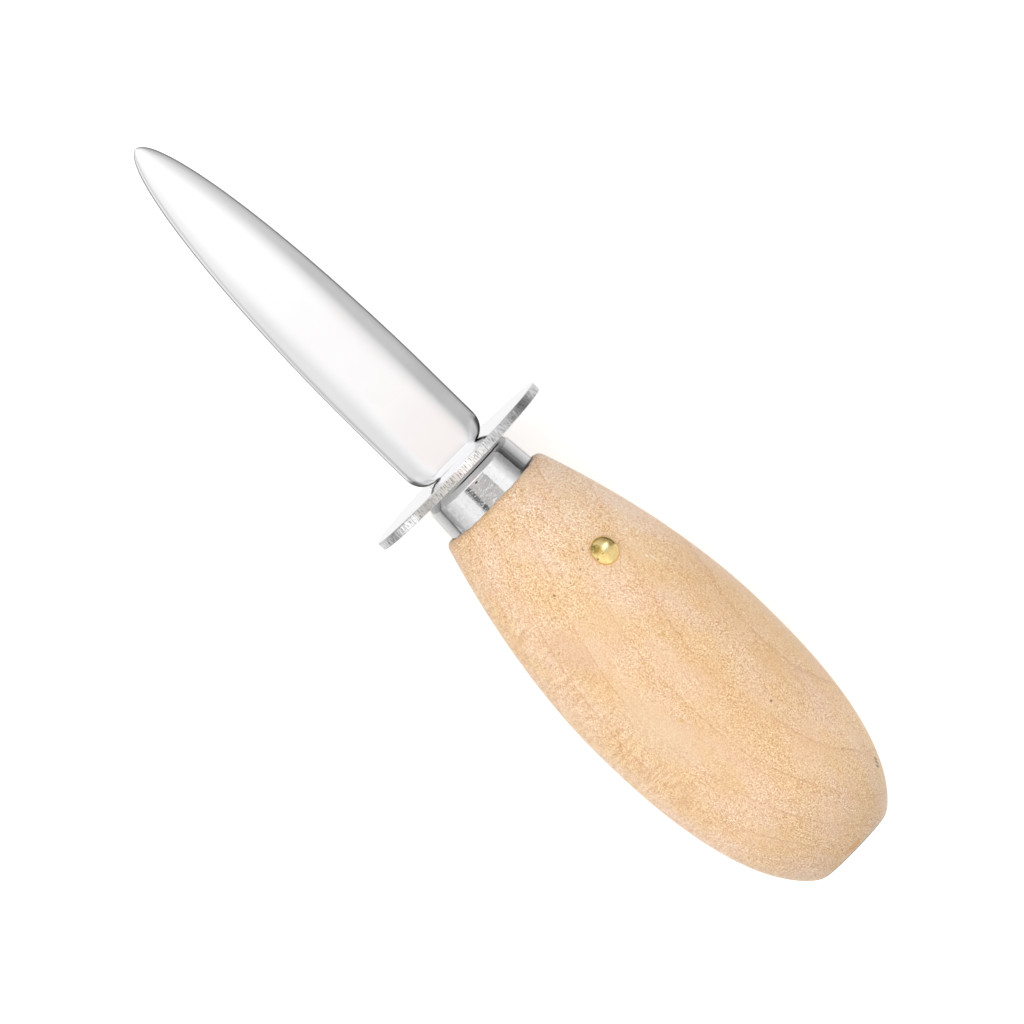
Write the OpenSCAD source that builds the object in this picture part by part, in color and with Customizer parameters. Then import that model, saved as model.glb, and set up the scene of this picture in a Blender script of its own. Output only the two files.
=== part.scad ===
// Oyster knife with a spear blade, a round guard, a steel ferrule and a turned wooden handle.
// Millimetres. +X runs from the butt to the tip and +Z is the blade's upper face.
// The origin lies below the middle of the knife, on the surface that guard and belly rest on.

/* [Blade] */
// Length of the pointed part, from the tip to the full width
point_l = 61.5; // [50:0.5:75]
// Length of the stretch with parallel edges
straight_l = 4.4; // [1:0.1:20]
// Length over which the two heel corners round off
heel_l = 3.1; // [2:0.1:6]
// Greatest width of the blade
blade_w = 14.8; // [12:0.1:20]
// Width of the heel where it meets the guard
heel_w = 7.7; // [7:0.1:11]
// Thickness of the blade between its bevels
blade_t = 3; // [2.6:0.1:4]
// Thickness of the rounded rim
edge_t = 0.6; // [0.4:0.05:1.2]
// Width of the rim's rounding, seen from above
edge_round = 0.45; // [0.3:0.05:0.8]
// Width of each bevel, measured in from the edge
bevel_w = 2.8; // [1.8:0.05:3.5]
// Softness of the line between the bevel and the flat
bevel_blend = 0.36; // [0.05:0.01:0.45]
// Length over which the faces drop to the guard at the heel
heel_drop_l = 0.7; // [0.3:0.05:1.5]
// Lean of blade and tang to one side about the pin, in degrees
blade_lean = 0.55; // [-0.6:0.05:0.6]

/* [Tang] */
// Width of the tang at the guard
tang_w = 6; // [4.5:0.1:6.4]
// Thickness of the tang
tang_t = 2.2; // [1.5:0.05:2.3]
// Length of the tang, measured from the heel
tang_l = 44; // [36:0.5:55]
// Width of the tang at its far end
tang_end_w = 4.4; // [3:0.1:5]
// Bevel on the tang's two far corners
tang_end_cut = 1; // [0.3:0.1:1.4]

/* [Guard] */
// How much wider the guard disc is than the handle's belly
guard_over_belly = 0; // [-6:0.1:6]
// Thickness of the guard disc
guard_t = 1.6; // [1:0.1:3]
// Chamfer on the guard's rim
guard_edge = 0.18; // [0.05:0.01:0.4]
// Gap round the tang in the guard's slot
slot_gap = 0.1; // [0.05:0.01:0.3]

/* [Ferrule] */
// Length of ferrule that shows between the guard and the wood
ferrule_shown = 6.4; // [4:0.1:12]
// Length of ferrule sunk into the front of the wood
ferrule_sunk = 1; // [0.5:0.1:3]
// Outer diameter at the sunk end
ferrule_d = 17.6; // [17.5:0.1:18.5]
// How much the outer diameter narrows along the cone
ferrule_taper = 1.1; // [0:0.1:2]
// Length of the rounded nose that closes in on the guard
nose_l = 2.1; // [1:0.1:2.4]
// How far the nose's radius closes in
nose_drop = 1; // [0.3:0.05:1.2]
// Wall thickness of the ferrule
ferrule_wall = 0.8; // [0.5:0.05:0.9]

/* [Handle] */
// Length of the handle from its front face to the butt
handle_l = 77.7; // [70:0.1:95]
// Diameter of the belly
belly_d = 34.5; // [30:0.1:42]
// Distance of the belly from the butt
belly_from_butt = 37.8; // [32:0.1:42]
// Diameter of the handle at its front face
front_d = 20.1; // [19.6:0.1:24]
// Diameter of the flat butt, before its corner is rounded
butt_d = 13.9; // [8:0.1:18]
// Rounding of the handle's front corner
front_round = 1.1; // [0.3:0.1:1.5]
// Chamfer on the inner edge of the front face, round the ferrule
lip_cut = 0.3; // [0.1:0.05:0.4]
// Rounding of the butt's corner
butt_round = 0.7; // [0.3:0.1:1.5]
// Fullness of the slope from the belly to the front
front_fullness = 1.81; // [1.4:0.01:2.4]
// Fullness of the slope from the belly to the butt
rear_fullness = 2.45; // [1.8:0.05:3]
// Diameter of the hole bored for the tang
bore_d = 8.6; // [7.4:0.1:10]

/* [Pin] */
// Distance of the pin behind the handle's front face
pin_from_front = 17.5; // [12:0.1:24]
// Angle of the pin round the handle, from the blade's upper face
pin_angle = 26; // [0:0.5:40]
// Diameter of the domed head
pin_head_d = 4.3; // [3:0.1:6]
// Height of the domed head
pin_head_h = 1.95; // [1:0.05:2.1]
// Diameter of the shank
pin_d = 2; // [1.2:0.1:2.6]
// Length of the shank and its point under the head
pin_l = 21; // [17:0.5:24]
// Length of the point
pin_point_l = 2.5; // [1.5:0.1:4]
// Depth of the head's seat in the wood
pin_seat = 0.55; // [0.2:0.05:0.9]

/* [Fits] */
// Gap at glued and driven fits
fit_gap = 0.03; // [0.01:0.01:0.08]
// Gap left before the tenon's end and at the end of a blind hole
end_gap = 0.3; // [0.1:0.05:0.6]

/* [Hidden] */
$fn = 96;

guard_d = belly_d + guard_over_belly;
blade_l = point_l + straight_l + heel_l;
total_l = blade_l + guard_t + ferrule_shown + handle_l;
axis_z = max(guard_d, belly_d) / 2;

tip_x = total_l / 2;
heel_x = tip_x - blade_l;
guard_back_x = heel_x - guard_t;
front_x = guard_back_x - ferrule_shown;
pin_x = front_x - pin_from_front;

// Steps of the blade's loft: along the point, the parallel stretch and the heel, and from edge to middle.
point_steps = 26;
straight_steps = 2;
heel_steps = 10;
side_steps = 12;
// Steps of the handle's curved outline, of its corners, and how far the cutting tools overrun.
slope_steps = 20;
corner_steps = 6;
overrun = 1;

// Smooth minimum of two values, rounded over a band of width k.
function soft_min(a, b, k) = min(a, b) - pow(max(k - abs(a - b), 0), 2) / (4 * k);

// Points of a curve that rounds the corner between two ends.
function corner(from, turn, to) = [
    for (i = [0:corner_steps])
        let (t = i / corner_steps)
        pow(1 - t, 2) * from + 2 * t * (1 - t) * turn + t * t * to
];

// Half the blade's width at a distance from the tip: half an ellipse, a straight stretch, a rounded heel.
heel_fullness = 2.3;
function point_half(d) = blade_w / 2 * sqrt(max(0, 1 - pow(1 - min(d, point_l) / point_l, 2)));
function heel_half(h) =
    heel_w / 2 + (blade_w - heel_w) / 2
        * pow(max(0, 1 - pow(1 - min(h, heel_l) / heel_l, heel_fullness)), 1 / heel_fullness);
function half_width(d) = min(point_half(d), heel_half(blade_l - d));

// Half the blade's thickness at a distance in from the edge, where the blade is w wide on one side.
bevel_slope = (blade_t - edge_t) / 2 / (bevel_w - edge_round);
tip_fade_w = 1;
bevel_share = 0.5;
round_share = 0.3;
function half_thickness(inset, w) =
    let (
        rim = edge_t / 2 * min(1, w / tip_fade_w),
        rounding = min(edge_round, round_share * w),
        bevel = soft_min(bevel_w, bevel_share * w, bevel_blend),
        flat = rim + bevel_slope * max(0, bevel - rounding)
    )
    inset < rounding
        ? rim * sqrt(max(0, 1 - pow(1 - inset / rounding, 2)))
        : max(rim, soft_min(rim + bevel_slope * (inset - rounding), flat, bevel_blend * min(1, w / bevel_w)));

// The faces drop to a little over the tang's thickness just before the guard.
heel_t = min(blade_t, tang_t + end_gap);
function heel_drop(z, h) =
    let (rise = sqrt(max(0, 1 - pow(1 - min(h, heel_drop_l) / heel_drop_l, 2))))
    z - max(0, z - heel_t / 2) * (1 - rise);

// Distances from the tip at which the blade's sections stand, closest where its outline turns fastest.
blade_stations = concat(
    [for (i = [1:point_steps]) point_l * (1 - cos(90 * i / point_steps))],
    [for (i = [1:straight_steps]) point_l + straight_l * i / straight_steps],
    [for (i = [1:heel_steps]) blade_l - heel_l * (1 - cos(90 * (1 - i / heel_steps)))]
);

// One closed section of the blade: its upper face from edge to edge, then its lower face back again.
function blade_section(d) =
    let (
        w = half_width(d),
        insets = [for (j = [0:side_steps]) w * pow(j / side_steps, 2)],
        heights = [for (e = insets) heel_drop(half_thickness(e, w), blade_l - d)],
        top = concat(
            [for (j = [0:side_steps]) [w - insets[j], heights[j]]],
            [for (j = [side_steps - 1:-1:0]) [insets[j] - w, heights[j]]]
        ),
        last = len(top) - 1
    )
    [
        for (p = top) [blade_l - d, p[0], p[1]],
        for (j = [last - 1:-1:1]) [blade_l - d, top[j][0], -top[j][1]]
    ];

module blade_body() {
    rings = [for (d = blade_stations) blade_section(d)];
    count = len(rings[0]);
    last = len(rings) - 1;
    points = concat([[blade_l, 0, 0]], [for (ring = rings) for (p = ring) p], [[0, 0, 0]]);
    end = len(points) - 1;
    // Number of the point k on ring i.
    function at(i, k) = 1 + i * count + k % count;
    faces = concat(
        [for (k = [0:count - 1]) [0, at(0, k + 1), at(0, k)]],
        [for (i = [0:last - 1]) for (k = [0:count - 1]) [at(i, k), at(i + 1, k + 1), at(i + 1, k)]],
        [for (i = [0:last - 1]) for (k = [0:count - 1]) [at(i, k), at(i, k + 1), at(i + 1, k + 1)]],
        [for (k = [0:count - 1]) [end, at(last, k), at(last, k + 1)]]
    );
    polyhedron(points, faces);
}

// The tang's solid, or with a gap the space it needs. Its root reaches into the blade.
tang_root = 4;
module tang_solid(gap = 0) {
    taper_x = -guard_t - end_gap;
    half = tang_w / 2 + gap;
    end_half = tang_end_w / 2 + gap;
    reach = tang_l + gap;
    linear_extrude(tang_t + 2 * gap, center = true)
        polygon([
            [tang_root, -half],
            [taper_x, -half],
            [tang_end_cut - reach, -end_half],
            [-reach, tang_end_cut - end_half],
            [-reach, end_half - tang_end_cut],
            [tang_end_cut - reach, end_half],
            [taper_x, half],
            [tang_root, half]
        ]);
}

// Turns a piece that was made round Z so that it stands along X on the knife's axis.
module on_axis(x) {
    translate([x, 0, axis_z])
        rotate([0, 90, 0])
            children();
}

// Stands a piece made along Z at the pin's place, square to the knife's axis.
module at_pin() {
    translate([pin_x, 0, axis_z])
        rotate([pin_angle, 0, 0])
            children();
}

// Turns blade, tang and their slot by the lean about the pin.
module leaning() {
    translate([pin_x, 0, axis_z])
        rotate([0, 0, -blade_lean])
            translate([-pin_x, 0, -axis_z])
                children();
}

// Radius of the handle at a distance behind its front face.
belly_from_front = handle_l - belly_from_butt;
rear_reach = belly_from_butt / pow(1 - pow(butt_d / belly_d, rear_fullness), 1 / rear_fullness);
function front_r(d) =
    belly_d / 2 - (belly_d - front_d) / 2 * pow((belly_from_front - d) / belly_from_front, front_fullness);
function rear_r(d) =
    belly_d / 2 * pow(1 - pow((d - belly_from_front) / rear_reach, rear_fullness), 1 / rear_fullness);

// The head's underside is level with the bottom of its seat in the wood.
pin_seat_r = front_r(pin_from_front) - pin_seat;
pin_hole_d = pin_d + 2 * fit_gap;
pin_hole_l = pin_l + end_gap;

module blade() {
    color("silver")
        difference() {
            leaning()
                translate([heel_x, 0, axis_z])
                    union() {
                        blade_body();
                        tang_solid();
                    }
            at_pin()
                cylinder(d = pin_hole_d, h = 2 * tang_w, center = true);
        }
}

module guard() {
    rim = guard_d / 2;
    color("gainsboro")
        difference() {
            on_axis(guard_back_x)
                rotate_extrude()
                    polygon([
                        [0, 0],
                        [rim - guard_edge, 0],
                        [rim, guard_edge],
                        [rim, guard_t - guard_edge],
                        [rim - guard_edge, guard_t],
                        [0, guard_t]
                    ]);
            leaning()
                translate([guard_back_x + guard_t / 2, 0, axis_z])
                    cube([guard_t + 2 * overrun, tang_w + 2 * slot_gap, tang_t + 2 * slot_gap], center = true);
        }
}

// Outer radius of the ferrule at a distance in front of the handle's front face.
ferrule_l = ferrule_shown + ferrule_sunk;
function ferrule_r(z) =
    let (nose = max(0, z - ferrule_shown + nose_l) / nose_l)
    (ferrule_d - ferrule_taper * (z + ferrule_sunk) / ferrule_l) / 2 - nose_drop * nose * nose;

// Places along the ferrule where its outline turns: the cone's two ends, then the nose.
ferrule_stations = concat(
    [-ferrule_sunk],
    [for (i = [0:corner_steps]) ferrule_shown - nose_l * (1 - i / corner_steps)]
);

module ferrule() {
    outside = [for (z = ferrule_stations) [ferrule_r(z), z]];
    last = len(ferrule_stations) - 1;
    inside = [for (i = [last:-1:0]) outside[i] - [ferrule_wall, 0]];
    color("whitesmoke")
        on_axis(front_x)
            rotate_extrude()
                polygon(concat(outside, inside));
}

// Half outline of the turned wood: butt, belly, front corner, recess for the ferrule, tenon.
bore_end = guard_t + ferrule_shown - tang_l - end_gap;
tenon_l = ferrule_shown - nose_l - end_gap;
function tenon_r(z) = ferrule_r(z) - ferrule_wall - fit_gap;
function handle_outline() =
    let (recess_r = ferrule_r(-ferrule_sunk) + fit_gap)
    concat(
        [[0, -handle_l]],
        corner(
            [butt_d / 2 - butt_round, -handle_l],
            [butt_d / 2, -handle_l],
            [rear_r(handle_l - butt_round), butt_round - handle_l]
        ),
        [
            for (i = [slope_steps - 1:-1:1])
                let (d = belly_from_front + (belly_from_butt - butt_round) * sin(90 * i / slope_steps))
                [rear_r(d), -d]
        ],
        [
            for (i = [slope_steps:-1:1])
                let (d = front_round + (belly_from_front - front_round) * i / slope_steps)
                [front_r(d), -d]
        ],
        corner(
            [front_r(front_round), -front_round],
            [front_r(0), 0],
            [recess_r + lip_cut, 0]
        ),
        [
            [recess_r, -lip_cut],
            [recess_r, -ferrule_sunk],
            [tenon_r(-ferrule_sunk), -ferrule_sunk],
            [tenon_r(tenon_l), tenon_l],
            [0, tenon_l]
        ]
    );

// Drilled hole for the tang, with the cone that a drill leaves at its end.
drill_cone_l = bore_d / 2 * tan(31);
module tang_bore(d, from, gap = 0) {
    cylinder(d = d, h = from - bore_end);
    translate([0, 0, -drill_cone_l])
        cylinder(d1 = 0, d2 = d, h = drill_cone_l);
}

module handle() {
    color("burlywood")
        difference() {
            on_axis(front_x)
                rotate_extrude()
                    polygon(handle_outline());
            on_axis(front_x + bore_end)
                tang_bore(bore_d, tenon_l + overrun);
            at_pin() {
                translate([0, 0, pin_seat_r - pin_hole_l])
                    cylinder(d = pin_hole_d, h = pin_hole_l);
                translate([0, 0, pin_seat_r])
                    cylinder(d = pin_head_d + 2 * fit_gap, h = pin_head_h + overrun);
            }
        }
}

module tang_epoxy() {
    color("khaki")
        difference() {
            on_axis(front_x + bore_end)
                tang_bore(bore_d - 2 * fit_gap, tenon_l);
            leaning()
                translate([heel_x, 0, axis_z])
                    tang_solid(fit_gap);
            at_pin()
                cylinder(d = pin_hole_d, h = 2 * bore_d, center = true);
        }
}

module brass_pin() {
    dome_r = (pow(pin_head_d / 2, 2) + pow(pin_head_h, 2)) / (2 * pin_head_h);
    color("goldenrod")
        at_pin()
            translate([0, 0, pin_seat_r])
                union() {
                    rotate_extrude()
                        intersection() {
                            translate([0, pin_head_h - dome_r])
                                circle(dome_r);
                            square([pin_head_d, pin_head_h]);
                        }
                    rotate_extrude()
                        polygon([
                            [0, -pin_l],
                            [pin_d / 2, pin_point_l - pin_l],
                            [pin_d / 2, pin_head_h / 2],
                            [0, pin_head_h / 2]
                        ]);
                }
}

blade();
guard();
ferrule();
handle();
tang_epoxy();
brass_pin();
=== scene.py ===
"""Oyster knife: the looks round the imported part, in metres, in the part's own frame.

+X runs from the butt to the tip, +Z is the blade's upper face, and the knife lies on z = 0.
"""

import math

import bpy
from mathutils import Matrix, Vector


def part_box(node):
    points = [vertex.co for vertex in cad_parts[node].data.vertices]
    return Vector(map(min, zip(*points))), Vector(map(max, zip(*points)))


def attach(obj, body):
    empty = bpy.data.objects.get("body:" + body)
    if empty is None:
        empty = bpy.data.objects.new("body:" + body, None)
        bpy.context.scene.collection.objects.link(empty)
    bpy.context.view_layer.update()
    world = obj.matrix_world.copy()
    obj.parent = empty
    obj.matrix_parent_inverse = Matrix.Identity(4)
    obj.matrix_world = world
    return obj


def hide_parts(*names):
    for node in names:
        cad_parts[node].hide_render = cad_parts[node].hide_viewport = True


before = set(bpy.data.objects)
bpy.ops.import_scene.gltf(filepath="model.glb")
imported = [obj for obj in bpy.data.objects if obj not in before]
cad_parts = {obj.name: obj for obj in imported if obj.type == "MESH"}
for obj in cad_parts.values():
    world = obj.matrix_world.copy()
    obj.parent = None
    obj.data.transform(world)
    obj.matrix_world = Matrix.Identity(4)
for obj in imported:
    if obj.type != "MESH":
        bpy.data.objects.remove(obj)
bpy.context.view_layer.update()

MM = 0.001

# Places and sizes that the frame gives.
BLADE_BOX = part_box("blade")
GUARD_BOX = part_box("guard")
FERRULE_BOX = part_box("ferrule")
HANDLE_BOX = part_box("handle")
PIN_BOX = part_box("brass_pin")
AXIS_Z = (GUARD_BOX[0][2] + GUARD_BOX[1][2]) / 2
GUARD_R = (GUARD_BOX[1][2] - GUARD_BOX[0][2]) / 2
BELLY_R = (HANDLE_BOX[1][2] - HANDLE_BOX[0][2]) / 2
FERRULE_R = (FERRULE_BOX[1][2] - FERRULE_BOX[0][2]) / 2
BLADE_T = BLADE_BOX[1][2] - BLADE_BOX[0][2]
HEEL_X = GUARD_BOX[1][0]
GUARD_BACK_X = GUARD_BOX[0][0]
FERRULE_REAR_X = FERRULE_BOX[0][0]
BUTT_X = HANDLE_BOX[0][0]
PIN_X = (PIN_BOX[0][0] + PIN_BOX[1][0]) / 2

# The blade's outline: a half ellipse, a straight stretch and a rounded heel, as in the solid.
POINT_L = 61.5 * MM
STRAIGHT_L = 3.9 * MM
HEEL_L = 3.6 * MM
BLADE_L = POINT_L + STRAIGHT_L + HEEL_L
BLADE_HALF = 7.4 * MM
FULLER = 0.19 * MM
HEEL_HALF = 4.3 * MM
HEEL_FULLNESS = 2.05
HEEL_HALF_T = 1.25 * MM
HEEL_DROP_L = 0.95 * MM
BLADE_LEAN = math.radians(0.55)
BLADE_SHIFT = 0.12 * MM

# Its edge and bevels. A bevel is full at a share of the point's length, and broadest behind the middle.
EDGE_T = 0.7 * MM
EDGE_ROUND = 0.9 * MM
BEVEL_W = 3.15 * MM
BEVEL_TIP_W = 1.55 * MM
BEVEL_LEAST_W = 0.4 * MM
BEVEL_BLEND = 0.45 * MM
BEVEL_FULL_AT = 0.86
BEVEL_BROADER = 0.28 * MM
BEVEL_BROADEST = 0.48 * MM
BROADEST_AT = 47 * MM
BROADEST_L = 11 * MM

# The guard: rolled over at the blade's side, sharper at the ferrule's side.
GUARD_ROLL = 0.3 * MM
GUARD_SHARP = 0.14 * MM
HOLDING_LOOP = 0.03 * MM

# The ferrule: a cone with a rounded nose.
FERRULE_SHOWN = 6.4 * MM
FERRULE_SUNK = 1.0 * MM
FERRULE_L = FERRULE_SHOWN + FERRULE_SUNK
FERRULE_TAPER = 1.1 * MM
NOSE_L = 2.1 * MM
NOSE_DROP = 1.0 * MM
FRONT_X = FERRULE_REAR_X + FERRULE_SUNK

# The handle, turned from one piece.
HANDLE_L = FRONT_X - BUTT_X
BELLY_FROM_BUTT = 37.8 * MM
BELLY_FROM_FRONT = HANDLE_L - BELLY_FROM_BUTT
FRONT_R = 10.05 * MM
BUTT_R = 6.95 * MM
FRONT_ROUND = 1.1 * MM
BUTT_ROUND = 0.7 * MM
FRONT_FULLNESS = 1.81
REAR_FULLNESS = 2.45
REAR_REACH = BELLY_FROM_BUTT / (1 - (BUTT_R / BELLY_R) ** REAR_FULLNESS) ** (1 / REAR_FULLNESS)

# Its front face, cut by hand. A dent row is its depth, its waves round the edge and where they start.
LIP_CUT = 0.42 * MM
LIP_BACK = -0.36 * MM
LIP_LEAN = 0.31 * MM
LIP_SKEW = 0.08 * MM
LIP_REACH = 2.2 * MM
LIP_DENTS = ((0.04 * MM, 5, 1.3), (0.03 * MM, 11, 0.4), (0.03 * MM, 23, 2.2))

# The brass pin's head, a little longer along the knife than across.
PIN_FROM_FRONT = 17.5 * MM
PIN_ANGLE = math.radians(24.7)
PIN_HEAD_R = 2.25 * MM
PIN_HEAD_H = 1.2 * MM
PIN_SEAT = 0.1 * MM
PIN_MOVE = 0.12 * MM
PIN_STRETCH = 1.08

# The smallest rings, which a flat face closes.
HUB_R = 0.1 * MM
PIN_TOP_R = 0.01 * MM

# The photograph: its size in pixels, its scale, and the knife's axis in it.
PHOTO_PX = 1024
MM_PER_PX = 0.15408
AXIS_ANGLE = math.radians(43.784)
AIM_X = -3.342 * MM
AIM_Y = -0.585 * MM
CAMERA_H = 5.0
CAMERA_X = 0.2765
SENSOR_MM = 36


# Meshes


def mesh_object(name, points, faces):
    mesh = bpy.data.meshes.new(name)
    mesh.from_pydata(points, [], faces)
    mesh.validate()
    mesh.update()
    for face in mesh.polygons:
        face.use_smooth = True
    piece = bpy.data.objects.new(name, mesh)
    bpy.context.scene.collection.objects.link(piece)
    return piece


def skin(name, rings):
    """A closed mesh through rings of points with the same count."""
    count = len(rings[0])
    points = [p for ring in rings for p in ring]
    faces = []
    for row in range(len(rings) - 1):
        a = row * count
        b = a + count
        for i in range(count):
            j = (i + 1) % count
            faces.append((a + i, a + j, b + j, b + i))
    faces.append(tuple(reversed(range(count))))
    faces.append(tuple(range(len(points) - count, len(points))))
    return mesh_object(name, points, faces)


def turned(name, profile, segments, shift=None):
    """A surface of revolution round the knife's axis, from points (x, radius).

    shift(x, turn) moves a point along the axis, for edges that aren't square.
    """
    rings = []
    for x, r in profile:
        ring = []
        for i in range(segments):
            turn = 2 * math.pi * i / segments
            move = shift(x, turn) if shift else 0
            ring.append((x + move, -r * math.sin(turn), AXIS_Z + r * math.cos(turn)))
        rings.append(ring)
    return skin(name, rings)


def bend(start, corner, end, steps):
    """Points of a curve that rounds the corner between two ends."""
    points = []
    for i in range(steps + 1):
        t = i / steps
        weights = ((1 - t) ** 2, 2 * t * (1 - t), t * t)
        points.append(tuple(sum(w * p[k] for w, p in zip(weights, (start, corner, end))) for k in (0, 1)))
    return points


def soft_min(a, b, band_w):
    """The smaller of two values, with the corner between them rounded over a band."""
    return min(a, b) - max(band_w - abs(a - b), 0) ** 2 / (4 * band_w)


# Blade


def half_width(d):
    """Half the blade's width at a distance from the tip."""
    along = min(d, POINT_L) / POINT_L
    point = BLADE_HALF * math.sqrt(max(0, 1 - (1 - along) ** 2))
    point = min(BLADE_HALF, point + FULLER * math.sin(math.pi * along**0.8))
    share = 1 - min(BLADE_L - d, HEEL_L) / HEEL_L
    rounding = max(0, 1 - share**HEEL_FULLNESS) ** (1 / HEEL_FULLNESS)
    return min(point, HEEL_HALF + (BLADE_HALF - HEEL_HALF) * rounding)


def half_thickness(inset, w, d):
    """Half the thickness at a distance in from the edge, where the blade is w wide on one side.

    The bevels narrow towards the tip at one slope, and steepen round the heel's corners. Where they
    broaden they get flatter, so the flat between them keeps its height. Near the point, the edge's
    rounding and the bevel each stay within half the width.
    """
    slope = (BLADE_T - EDGE_T) / 2 / BEVEL_W
    rim = EDGE_T / 2 * min(1, w / MM)
    rounding = min(EDGE_ROUND, 0.45 * w)
    growing = BEVEL_TIP_W + (BEVEL_W - BEVEL_TIP_W) / BEVEL_FULL_AT * d / POINT_L
    bevel = soft_min(BEVEL_W, growing, BEVEL_BLEND)
    if d > POINT_L:
        narrowed = max(w - (BLADE_HALF - BEVEL_W), BEVEL_LEAST_W)
        slope *= BEVEL_W / narrowed
        bevel *= narrowed / BEVEL_W
    bevel = soft_min(bevel, 0.5 * w, BEVEL_BLEND)
    broader = BEVEL_BROADER + BEVEL_BROADEST * math.exp(-(((d - BROADEST_AT) / BROADEST_L) ** 2))
    broad = bevel + broader * w / BLADE_HALF
    slope *= bevel / broad
    rise = rim * math.sqrt(max(0, 1 - (1 - min(inset, rounding) / rounding) ** 2))
    blend = BEVEL_BLEND * min(1, w / BEVEL_W, 2 * broad / (BLADE_T - EDGE_T))
    return soft_min(rise + slope * inset, rim + slope * broad, blend)


def heel_drop(z, h):
    """The height z of the faces, let down in a quarter wave over the last stretch h before the guard."""
    rise = math.sin(math.pi / 2 * min(h, HEEL_DROP_L) / HEEL_DROP_L)
    return z - max(0, z - HEEL_HALF_T) * (1 - rise)


def blade_ring(d):
    """One closed section of the blade, from edge to edge on the upper face and back below."""
    steps = 44
    crowding = 1.8
    w = half_width(d)
    side = []
    for j in range(steps + 1):
        inset = w * (j / steps) ** crowding
        side.append((w - inset, heel_drop(half_thickness(inset, w, d), BLADE_L - d)))
    upper = side + [(-y, z) for y, z in reversed(side[:-1])]
    lower = [(y, -z) for y, z in reversed(upper[1:-1])]
    reach = HEEL_X + BLADE_L - d - PIN_X
    ring = []
    for y, z in upper + lower:
        x = PIN_X + reach * math.cos(BLADE_LEAN) + y * math.sin(BLADE_LEAN)
        across = y * math.cos(BLADE_LEAN) - reach * math.sin(BLADE_LEAN) + BLADE_SHIFT
        ring.append((x, across, AXIS_Z + z))
    return ring


def build_blade():
    """Sections that crowd towards the tip and towards the guard."""
    point_steps = 150
    straight_steps = 5
    heel_steps = 40
    quarter = math.pi / 2
    stations = [POINT_L * (1 - math.cos(quarter * i / point_steps)) for i in range(1, point_steps + 1)]
    stations[0] = stations[0] / 4
    stations += [POINT_L + STRAIGHT_L * i / straight_steps for i in range(1, straight_steps + 1)]
    for i in range(1, heel_steps + 1):
        stations.append(BLADE_L - HEEL_L * (1 - math.cos(quarter * (1 - i / heel_steps))))
    return skin("blade_spear", [blade_ring(d) for d in stations])


# Guard, ferrule and pin


def build_guard():
    """A blanked disc. Extra loops beside its edges keep the faces flat."""
    back = GUARD_BACK_X
    sharp = GUARD_SHARP
    roll = GUARD_ROLL
    profile = [(back, r) for r in (HUB_R, GUARD_R - sharp - HOLDING_LOOP)]
    profile += bend((back, GUARD_R - sharp), (back, GUARD_R), (back + sharp, GUARD_R), 6)
    profile += [(back + sharp + HOLDING_LOOP, GUARD_R), (HEEL_X - roll - HOLDING_LOOP, GUARD_R)]
    profile += bend((HEEL_X - roll, GUARD_R), (HEEL_X, GUARD_R), (HEEL_X, GUARD_R - roll), 8)
    profile += [(HEEL_X, r) for r in (GUARD_R - roll - HOLDING_LOOP, HUB_R)]
    return turned("guard_disc", profile, 720)


def ferrule_r(behind):
    """Outer radius of the ferrule at a distance behind the guard."""
    nose = max(0, NOSE_L - behind) / NOSE_L
    cone = FERRULE_TAPER / 2 * (FERRULE_L - behind) / FERRULE_L
    return FERRULE_R - cone - NOSE_DROP * nose**2


def build_ferrule():
    steps = 60
    profile = []
    for i in range(steps + 1):
        behind = FERRULE_L * (1 - i / steps)
        profile.append((GUARD_BACK_X - behind, ferrule_r(behind)))
    return turned("ferrule_tube", profile, 360)


def pin_place(local):
    """Turns a point made along Z to the pin's place, square to the axis."""
    x, y, z = local
    return (
        PIN_X + PIN_MOVE + PIN_STRETCH * x,
        y * math.cos(PIN_ANGLE) - z * math.sin(PIN_ANGLE),
        AXIS_Z + y * math.sin(PIN_ANGLE) + z * math.cos(PIN_ANGLE),
    )


def build_pin():
    """The nail's domed head, which stands a little proud of the wood."""
    steps = 36
    segments = 96
    seat = handle_r(PIN_FROM_FRONT) + PIN_SEAT
    rings = []
    for i in range(steps + 1):
        turn = math.pi / 2 * i / steps
        r = max(PIN_HEAD_R * math.cos(turn), PIN_TOP_R)
        z = seat + PIN_HEAD_H * math.sin(turn)
        ring = []
        for k in range(segments):
            around = 2 * math.pi * k / segments
            ring.append(pin_place((r * math.cos(around), r * math.sin(around), z)))
        rings.append(ring)
    return skin("pin_head", rings)


# Handle


def handle_r(d):
    """Radius of the wood at a distance behind its front face."""
    if d < BELLY_FROM_FRONT:
        share = (BELLY_FROM_FRONT - d) / BELLY_FROM_FRONT
        return BELLY_R - (BELLY_R - FRONT_R) * share**FRONT_FULLNESS
    share = (d - BELLY_FROM_FRONT) / REAR_REACH
    return BELLY_R * (1 - share**REAR_FULLNESS) ** (1 / REAR_FULLNESS)


def lip_shift(x, turn):
    """The front face was cut by hand: a little out of square, with small dents in its edge."""
    fade = max(0, 1 - (FRONT_X - x) / LIP_REACH)
    lean = LIP_BACK + LIP_LEAN * (1 - max(0, math.cos(turn)))
    skew = -LIP_SKEW * math.sin(turn) ** 5
    dents = sum(depth * math.sin(waves * turn + start) for depth, waves, start in LIP_DENTS)
    return fade * (lean + skew + dents)


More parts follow.
